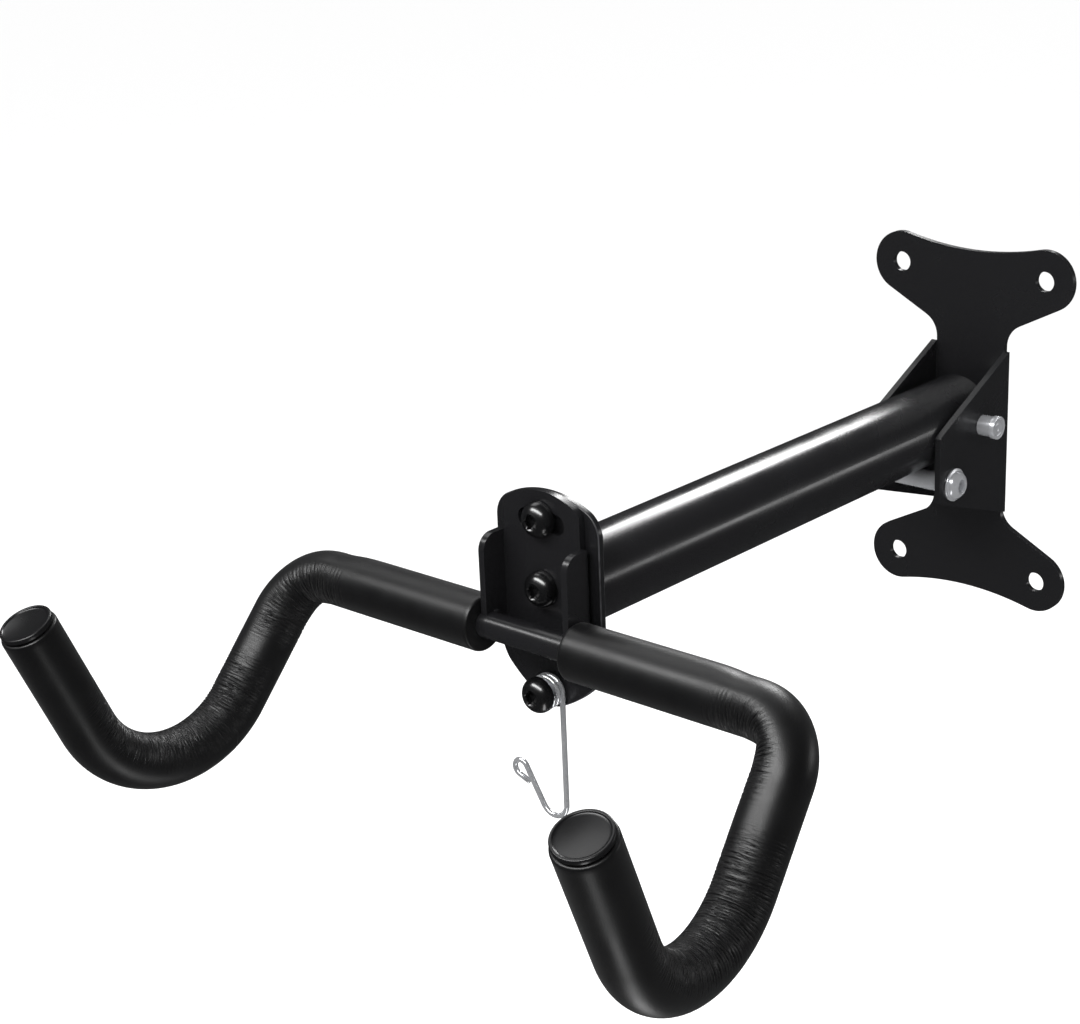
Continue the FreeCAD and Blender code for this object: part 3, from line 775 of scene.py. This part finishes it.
def sleeve_folds(foam, route, stations, frames, turns, seed):
    """How far each point of the sleeve's skin moves out, and how wrinkled it is."""
    moved = np.zeros((len(stations), len(turns)))
    marked = np.zeros_like(moved)
    for start, end, axis, radius in route.bends:
        tight = radius < TIGHT_BEND
        spacing = foam.fold_spacing * (1.12 if tight else 0.88)
        lead = 0.018 if tight else 0.026
        for i, s in enumerate(stations):
            _, heading, side, up = frames[i]
            inward = axis.cross(heading).normalized()
            inner = math.atan2(inward.dot(up), inward.dot(side))
            facing = np.cos(turns - inner)
            # A tight bend squeezes the foam inside, and draws it thin outside.
            if tight:
                middle = (start + end) / 2
                squeeze = math.exp(-((s - middle) / 0.0085) ** 2)
                moved[i] -= 0.0019 * squeeze * smooth((facing - 0.15) / 0.8)
                crease = math.exp(-((s - middle) / 0.0020) ** 2)
                moved[i] -= 0.0009 * crease * smooth((facing - 0.45) / 0.5)
                thin = math.exp(-((s - start + 0.001) / 0.0095) ** 2)
                moved[i] -= 0.0010 * thin * smooth((-facing - 0.1) / 0.8)
            along = float(smooth((s - start + lead) / lead) * smooth((end + lead - s) / lead))
            if along <= 0.001:
                continue
            mask = smooth((facing + 0.30) / 0.85) * along
            for j, a in enumerate(turns):
                m = mask[j]
                if m < 0.01:
                    continue
                x, y = math.cos(a), math.sin(a)
                drift = noise.noise(Vector((s * 120, 1.3 * x + seed, 1.3 * y)))
                amount = noise.noise(Vector((s * 430, 1.3 * x, 1.3 * y + seed)))
                phase = s / spacing + 0.75 * drift
                valley = 1 - abs(math.sin(math.pi * phase))
                cut = valley ** 2.4 * max(0.10, min(1.0, 0.60 + 1.5 * amount))
                moved[i, j] -= foam.fold_depth * m * cut
            marked[i] = np.maximum(marked[i], mask)
    return moved, marked


def nick(moved, stations, turns, s0, turn0, wide, tilt, depth):
    """Press one short crease across the skin at s0, turn0."""
    for i, s in enumerate(stations):
        if abs(s - s0) > 0.008:
            continue
        off = (turns - turn0 + math.pi) % (2 * math.pi) - math.pi
        line = s - s0 - tilt * off
        moved[i] -= depth * np.exp(-(line / 0.00045) ** 2) * np.exp(-(off / wide) ** 2)
        moved[i] += 0.5 * depth * np.exp(-((line - 0.0011) / 0.0007) ** 2) * np.exp(
            -(off / wide) ** 2)


def sleeve_piece(name, foam, side, nicks):
    """One foam sleeve on its hook: rounded ends, folds inside the bends, bore."""
    corners = [mirrored(c, side) for c in (foam.start, foam.shoulder, foam.low, foam.tip)]
    cap = bpy.context.scene.rack_cap.thickness
    corners[-1] -= (corners[-1] - corners[-2]).normalized() * cap
    route = Route(corners, [foam.shoulder_bend, foam.cradle_bend])
    stations = route.stations(foam.step, 0.0022, 0.020)
    lead_in = [0.0, 0.0002, 0.0006, 0.0012]
    rounding = lead_in[-1]
    clear = rounding + 0.0002
    stations = lead_in + [s for s in stations if clear < s < route.length - clear]
    stations += [route.length - s for s in reversed(lead_in)]
    count = foam.around
    turns = full_turn(count)
    frames = carried_frames(route, stations)
    seed = FOLD_SEEDS[side]
    moved, marked = sleeve_folds(foam, route, stations, frames, turns, seed)
    for values in nicks:
        nick(moved, stations, turns, *values)
    rings = []
    for i, here in enumerate(frames):
        edge = min(stations[i], route.length - stations[i])
        inset = 0.0009 * (1 - math.sqrt(1 - (1 - min(edge, rounding) / rounding) ** 2))
        rings.append(cross_ring(here, foam.radius - inset + moved[i], turns))
    outside = len(rings)
    for i in range(outside - 1, -1, -1):
        if i % BORE_RING_STEP and i not in (0, outside - 1):
            continue
        rings.append(cross_ring(frames[i], np.full(count, foam.bore), turns))
    shape = Shape()
    shape.loft(rings, looped=True)
    piece = shape.piece(name, 60.0)
    mesh = piece.data
    mask = np.zeros(len(mesh.vertices), np.float32)
    mask[:outside * count] = marked.reshape(-1)
    mesh.attributes.new(FOLD_MARK, "FLOAT", "POINT").data.foreach_set("value", mask)
    layout = mesh.uv_layers.new(name=SKIN_LAYOUT)
    long_ = np.array(stations + [0.0] * (len(rings) - outside))
    spots = np.zeros(len(mesh.loops), np.int64)
    mesh.loops.foreach_get("vertex_index", spots)
    u = long_[np.minimum(spots // count, len(long_) - 1)]
    # Wrap the seam's last column to 1 so that no face runs backwards.
    v = ((spots % count) / count).reshape(len(mesh.polygons), 4)
    v[(v.max(1) - v.min(1) > 0.5)[:, None] & (v < 0.5)] += 1.0
    layout.data.foreach_set("uv", np.stack([u, v.reshape(-1)], 1).reshape(-1))
    return piece


def rod_piece(name, foam, cap, count=56):
    """The bent rod that carries both sleeves, with chamfered ends inside the caps."""
    tip = Vector(foam.tip)
    tip -= (tip - Vector(foam.low)).normalized() * cap.thickness
    right = [Vector(foam.shoulder), Vector(foam.low), tip]
    left = [mirrored(corner, -1) for corner in reversed(right)]
    cradle, shoulder = foam.cradle_bend, foam.shoulder_bend
    route = Route(left + right, [cradle, shoulder, shoulder, cradle])
    radius = foam.bore - 0.00005
    chamfer = 0.0008
    stations = route.stations(0.0012, 0.006, 0.002)
    rings = []
    for s, here in zip(stations, carried_frames(route, stations)):
        edge = min(s, route.length - s)
        r = radius - chamfer / 2 * (1 - min(edge, chamfer) / chamfer)
        rings.append(cross_ring(here, np.full(count, r), full_turn(count)))
    shape = Shape()
    shape.loft(rings, close_start=True, close_end=True)
    return shape.piece(name, 50.0)


def cap_piece(name, cap, side, foam):
    """A moulded plug: groove, rounded rim, dished face."""
    tip = mirrored(foam.tip, side)
    along = (tip - mirrored(foam.low, side)).normalized()
    count = 96
    r, t = cap.radius, cap.thickness
    profile = [(0.003, 0.0), (r - 0.0012, 0.0), (r - 0.0010, 0.00008), (r - 0.0010, 0.0007)]
    profile += [(r - 0.00095, 0.00085), (r - 0.0003, 0.0009), (r - 0.0001, 0.00098)]
    profile += [(r, 0.0012), (r, t - 0.0006)]
    for k in range(1, 6):
        a = math.radians(90 * k / 5)
        profile.append((r - 0.0006 + 0.0006 * math.cos(a), t - 0.0006 + 0.0006 * math.sin(a)))
    inner = r - cap.rim
    profile += [(inner + 0.0002, t), (inner, t - 0.00005), (inner - 0.00015, t - 0.0002)]
    profile += [(inner - 0.00025, t - 0.00045), (inner - 0.00045, t - 0.00058)]
    steps = 12
    for k in range(1, steps + 1):
        x = 1 - k / steps
        fall = 0.0006 + (cap.dish - 0.0006) * (1 - x * x)
        profile.append(((inner - 0.00045) * max(x, 0.02), t - fall))
    shape = Shape()
    shape.loft([round_ring(x, z, count) for x, z in profile], close_start=True, close_end=True)
    shape.stand(tip - along * t, along)
    return shape.piece(name, 50.0)


def bead_piece(name, path, normals, radius, ripples, looped):
    """A weld bead along a path, with the ripples of a run laid down in steps."""
    count = 14
    rings = []
    total = len(path)
    for i, (point, normal) in enumerate(zip(path, normals)):
        ahead = path[(i + 1) % total] if looped else path[min(i + 1, total - 1)]
        behind = path[i - 1] if looped or i else path[0]
        heading = (ahead - behind).normalized()
        across = heading.cross(normal).normalized()
        wave = (i / total * ripples) % 1.0
        r = radius * (0.90 + 0.14 * math.sin(math.pi * wave) ** 0.7)
        r *= 1 + 0.05 * noise.noise(point * 400)
        if not looped:
            ends = min(i, total - 1 - i) / 4
            r *= min(1.0, 0.25 + 0.75 * ends)
        rings.append([point + (across * math.cos(a) + normal * math.sin(a)) * r
                      for a in np.linspace(0, 2 * math.pi, count, endpoint=False)])
    shape = Shape()
    shape.loft(rings, looped=looped, close_start=not looped, close_end=not looped)
    return shape.piece(name, 60.0)


# --------------------------------------------------------------------- operators
class RACK_OT_finishes(bpy.types.Operator):
    """Make the node groups and every material of the rack"""
    bl_idname = "rack.finishes"
    bl_label = "Finishes"

    def execute(self, context):
        for make in (orange_peel_group, edge_highlight_group, fine_scratch_group, skin_group):
            make()
        finish = context.scene.rack_finish
        powder_coat(finish)
        black_bolt(finish)
        plated("Zinc plate", tuple(finish.zinc), 0.70, 0.20, 0.28, (700.0, 2400.0, 2400.0))
        plated("Bright wire", tuple(finish.wire), 0.80, 0.08, 0.16, (900.0, 900.0, 300.0))
        foam_skin(finish)
        cap_plastic(finish)
        floor_paint(context.scene.rack_stage)
        return {"FINISHED"}


class RACK_OT_sheets(bpy.types.Operator):
    """Wall bracket, end plate and clamp plate, with their cut edges rounded over"""
    bl_idname = "rack.sheets"
    bl_label = "Pressed sheets"

    def execute(self, context):
        sheet = context.scene.rack_sheet
        for node, body in (("wall_bracket", "wall_bracket_body"), ("end_plate", "arm"),
                           ("clamp_plate", "hook_carrier")):
            attach_rounded(body, "black_powder_coat", sheet.edge, sheet.edge_steps, node)
        return {"FINISHED"}


class RACK_OT_arm(bpy.types.Operator):
    """Arm tube, its cross bush and the weld that holds the end plate"""
    bl_idname = "rack.arm"
    bl_label = "Arm and welds"

    def execute(self, context):
        arm = context.scene.rack_arm
        attach_rounded("arm", "black_powder_coat", 0.0004, 2, "arm_tube")
        attach_rounded("arm", "black_powder_coat", 0.0003, 2, "pivot_bush")
        low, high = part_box("arm_tube")
        centre = Vector(((low.x + high.x) / 2, low.y, (low.z + high.z) / 2))
        sunk = 0.25 * arm.bead
        radius = (high.x - low.x) / 2 + sunk
        steps = arm.ripples * 6
        path, normals = [], []
        for i in range(steps):
            a = 2 * math.pi * i / steps
            outward = Vector((math.cos(a), 0, math.sin(a)))
            path.append(centre + outward * radius + Vector((0, sunk, 0)))
            normals.append(outward)
        weld = bead_piece("arm_weld", path, normals, arm.bead, arm.ripples, True)
        attach(weld, "arm", "black_powder_coat")
        return {"FINISHED"}


class RACK_OT_pivot(bpy.types.Operator):
    """The pivot pin with its dished head, washer and retaining ring"""
    bl_idname = "rack.pivot"
    bl_label = "Pivot pin"

    def execute(self, context):
        low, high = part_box("pivot_pin")
        bolt = context.scene.rack_bolt
        shank = bolt.shank / 2
        shoulder, stand = bolt.pin_shoulder / 2, -bolt.pin_standoff
        head = (high.z - low.z) / 2
        reach = high.x - low.x
        tall = 0.0028
        ring_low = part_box("pivot_retaining_ring")[0]
        groove = (ring_low.x - 0.0001) - high.x + tall
        rings = [(0.0005, tall - reach), (shank - 0.0007, tall - reach)]
        rings += [(shank - 0.0002, tall - reach + 0.0004), (shank, tall - reach + 0.0009)]
        rings += [(shank, groove), (shank - 0.0008, groove), (shank - 0.0008, groove + 0.0011)]
        rings += [(shank, groove + 0.0011), (shank, stand), (shoulder - 0.0002, stand)]
        rings += [(shoulder, stand + 0.0002), (shoulder, 0.0), (head - 0.0002, 0.0)]
        rings += [(head, 0.0002), (head, tall - 0.0004), (head - 0.00012, tall - 0.00012)]
        rings += [(head - 0.0004, tall), (head - 0.0010, tall)]
        rings += [(head - 0.0012, tall - 0.0001), (head - 0.0017, tall - 0.0007)]
        rings += [(head - 0.0020, tall - 0.0008), (0.0022, tall - 0.0008)]
        rings += [(0.0020, tall - 0.0007), (0.0017, tall - 0.0007), (0.0015, tall - 0.0008)]
        rings += [(0.0001, tall - 0.00085)]
        shape = Shape()
        shape.loft([round_ring(r, h, 72) for r, h in rings], close_start=True, close_end=True)
        axis = node_centre("pivot_retaining_ring")
        shape.stand((high.x - tall, axis.y, axis.z), (1, 0, 0))
        pin = shape.piece("pivot_pin_detail", 30.0)
        attach(pin, "wall_bracket_body", "zinc_steel", "pivot_pin")
        for node, edge in (("pivot_washer", 0.00025), ("pivot_retaining_ring", 0.0002)):
            attach_rounded("wall_bracket_body", "zinc_steel", edge, 2, node)
        return {"FINISHED"}


class RACK_OT_support(bpy.types.Operator):
    """The bolt, sleeve, washer and nut that the arm rests on"""
    bl_idname = "rack.support"
    bl_label = "Support bolt"

    def execute(self, context):
        bolt = context.scene.rack_bolt
        body, slot = "wall_bracket_body", "zinc_steel"
        low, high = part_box("support_bolt")
        axis = node_centre("support_sleeve")
        height, flange, dome = 0.005, 0.00825, 0.0070
        seat = Vector((high.x - height, axis.y, axis.z))
        piece = bolt_piece("support_bolt_detail", bolt, seat, (1, 0, 0),
                           seat.x - low.x - TIP_CHAMFER, flange, dome, height)
        attach(piece, body, slot, "support_bolt")
        nut_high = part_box("support_nut")[1]
        piece = nut_piece("support_nut_detail", bolt, (nut_high.x, axis.y, axis.z), (-1, 0, 0))
        attach(piece, body, slot, "support_nut")
        attach_rounded(body, slot, 0.00025, 2, "support_sleeve", "support_washer")
        return {"FINISHED"}


class RACK_OT_front_bolts(bpy.types.Operator):
    """The three black button-head bolts, their welded nuts and the coil's spacer"""
    bl_idname = "rack.front_bolts"
    bl_label = "Front bolts"

    def execute(self, context):
        bolt = context.scene.rack_bolt
        wide = bolt.head / 2
        for node, nut in (("tilt_bolt_top", "nut_top"), ("tilt_bolt_middle", "nut_middle"),
                          ("wire_hook_bolt", "nut_low")):
            low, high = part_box(node)
            centre = node_centre(node)
            seat = Vector((centre.x, low.y + bolt.head_height, centre.z))
            piece = bolt_piece(node + "_detail", bolt, seat, (0, -1, 0),
                               high.y - seat.y - TIP_CHAMFER, wide, wide, bolt.head_height)
            attach(piece, "arm", "black_bolt", node)
            base = (centre.x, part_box(nut)[0].y, centre.z)
            piece = nut_piece(nut + "_detail", bolt, base, (0, 1, 0))
            attach(piece, "arm", "zinc_steel", nut)
        attach_rounded("arm", "zinc_steel", 0.0002, 2, "coil_spacer")
        return {"FINISHED"}


class RACK_OT_hooks(bpy.types.Operator):
    """The bent hook rod and the welds that hold it to the clamp plate's cheeks"""
    bl_idname = "rack.hooks"
    bl_label = "Hook rod"

    def execute(self, context):
        foam = context.scene.rack_foam
        rod = rod_piece("hook_rod_detail", foam, context.scene.rack_cap)
        attach(rod, "hook_carrier", "black_powder_coat", "hook_rod")
        cheek, reach, bead, ripples, steps = 0.0207, 0.0062, 0.0011, 9, 23
        for side, name in ((-1, "left"), (1, "right")):
            middle = Vector((side * cheek, foam.start[1], foam.start[2]))
            angles = [math.radians(100 + 62 * i / steps) for i in range(steps + 1)]
            normals = [Vector((0, -math.cos(a), math.sin(a))) for a in angles]
            path = [middle + outward * reach for outward in normals]
            weld = bead_piece("cheek_weld_" + name, path, normals, bead, ripples, False)
            attach(weld, "hook_carrier", "black_powder_coat")
        return {"FINISHED"}


class RACK_OT_foam(bpy.types.Operator):
    """The two foam sleeves, folded inside their bends"""
    bl_idname = "rack.foam"
    bl_label = "Foam sleeves"

    def execute(self, context):
        foam = context.scene.rack_foam
        for side, name in ((-1, "foam_sleeve_left"), (1, "foam_sleeve_right")):
            nicks = LEFT_NICKS if side < 0 else ()
            piece = sleeve_piece(name + "_detail", foam, side, nicks)
            attach(piece, "hook_carrier", "foam", name)
        return {"FINISHED"}


class RACK_OT_caps(bpy.types.Operator):
    """The two dished end caps"""
    bl_idname = "rack.caps"
    bl_label = "End caps"

    def execute(self, context):
        scene = context.scene
        for side, name in ((-1, "end_cap_left"), (1, "end_cap_right")):
            piece = cap_piece(name + "_detail", scene.rack_cap, side, scene.rack_foam)
            attach(piece, "hook_carrier", "cap_plastic", name)
        return {"FINISHED"}


class RACK_OT_wire_hook(bpy.types.Operator):
    """The sprung wire hook, in bright wire"""
    bl_idname = "rack.wire_hook"
    bl_label = "Wire hook"

    def execute(self, context):
        wire = smooth_copy("wire_hook")
        attach(wire, "wire_hook_body", "bright_wire", "wire_hook")
        return {"FINISHED"}


class RACK_OT_stage(bpy.types.Operator):
    """Pale floor, soft studio lights and the camera"""
    bl_idname = "rack.stage"
    bl_label = "Stage"

    def execute(self, context):
        stage = context.scene.rack_stage
        floor_piece(stage)
        studio_world(context.scene)
        for light in LIGHTS:
            softbox(Vector(LIT_POINT), *light)
        camera_piece(context.scene, stage)
        return {"FINISHED"}


def floor_piece(stage):
    half = stage.floor_width / 2
    work = bmesh.new()
    bmesh.ops.create_circle(work, cap_ends=True, segments=64, radius=half)
    mesh = bpy.data.meshes.new("floor")
    work.to_mesh(mesh)
    work.free()
    floor = link_piece("floor", mesh)
    floor.location = (0, 0, stage.floor)
    floor.visible_glossy = False
    finished(floor, "Pale floor")


def studio_world(scene):
    """A white room for the eye and for soft light, but a dim one in reflections."""
    world = bpy.data.worlds.new("Studio")
    scene.world = world
    world.use_nodes = True
    tree = world.node_tree
    tree.nodes.clear()
    bright = add_node(tree, "ShaderNodeBackground", in_Strength=1.1)
    bright.inputs["Color"].default_value = (1.0, 1.0, 1.0, 1.0)
    dim = add_node(tree, "ShaderNodeBackground", in_Strength=0.05)
    dim.inputs["Color"].default_value = (0.95, 0.97, 1.0, 1.0)
    rays = add_node(tree, "ShaderNodeLightPath")
    mix = add_node(tree, "ShaderNodeMixShader")
    out = add_node(tree, "ShaderNodeOutputWorld")
    join(tree, rays.outputs["Is Glossy Ray"], mix.inputs["Fac"])
    join(tree, bright.outputs["Background"], mix.inputs[1])
    join(tree, dim.outputs["Background"], mix.inputs[2])
    join(tree, mix.outputs["Shader"], out.inputs["Surface"])
    scene.view_settings.view_transform = "Standard"


def softbox(target, name, direction, distance, size, power):
    """A rectangular soft light that faces target and isn't seen itself."""
    data = bpy.data.lights.new(name, "AREA")
    data.shape = "RECTANGLE"
    data.size, data.size_y = size
    data.energy = power
    lamp = bpy.data.objects.new(name, data)
    bpy.context.scene.collection.objects.link(lamp)
    heading = Vector(direction).normalized()
    lamp.location = target + heading * distance
    lamp.rotation_euler = heading.to_track_quat("Z", "Y").to_euler()
    lamp.visible_camera = False


def camera_piece(scene, stage):
    data = bpy.data.cameras.new("Camera")
    data.sensor_width = 36.0
    data.sensor_fit = "HORIZONTAL"
    data.lens = stage.lens
    data.clip_end = 200.0
    camera = bpy.data.objects.new("Camera", data)
    scene.collection.objects.link(camera)
    a, e, roll = stage.azimuth, stage.elevation, stage.roll
    back = Vector((math.sin(a) * math.cos(e), -math.cos(a) * math.cos(e), math.sin(e)))
    right = (-back).cross(Vector((0, 0, 1))).normalized()
    up = right.cross(-back)
    turned_right = right * math.cos(roll) + up * math.sin(roll)
    turned_up = up * math.cos(roll) - right * math.sin(roll)
    turn = Matrix((turned_right, turned_up, back)).transposed().to_4x4()
    camera.matrix_world = Matrix.Translation(Vector(stage.camera)) @ turn
    scene.camera = camera


class RACK_PT_panel(bpy.types.Panel):
    """The rack's steps and sizes"""
    bl_idname = "RACK_PT_panel"
    bl_label = "Bicycle Wall Rack"
    bl_space_type = "VIEW_3D"
    bl_region_type = "UI"
    bl_category = "Wall Rack"

    def draw(self, context):
        for step in STEPS:
            self.layout.operator(step.bl_idname)
        for name, group in SETTINGS.items():
            box = self.layout.box()
            box.label(text=group.__name__.replace("Settings", ""))
            for field in group.__annotations__:
                box.prop(getattr(context.scene, name), field)


STEPS = (
    RACK_OT_finishes,
    RACK_OT_sheets,
    RACK_OT_arm,
    RACK_OT_pivot,
    RACK_OT_support,
    RACK_OT_front_bolts,
    RACK_OT_hooks,
    RACK_OT_foam,
    RACK_OT_caps,
    RACK_OT_wire_hook,
    RACK_OT_stage,
)


def register():
    for cls in (*SETTINGS.values(), *STEPS, RACK_PT_panel):
        bpy.utils.register_class(cls)
    for name, group in SETTINGS.items():
        setattr(bpy.types.Scene, name, PointerProperty(type=group))


def unregister():
    for name in SETTINGS:
        delattr(bpy.types.Scene, name)
    for cls in reversed((*SETTINGS.values(), *STEPS, RACK_PT_panel)):
        bpy.utils.unregister_class(cls)


def main():
    register()
    bpy.ops.rack.finishes()
    bpy.ops.rack.sheets()
    bpy.ops.rack.arm()
    bpy.ops.rack.pivot()
    bpy.ops.rack.support()
    bpy.ops.rack.front_bolts()
    bpy.ops.rack.hooks()
    bpy.ops.rack.foam()
    bpy.ops.rack.caps()
    bpy.ops.rack.wire_hook()
    bpy.ops.rack.stage()


if __name__ == "__main__":
    main()
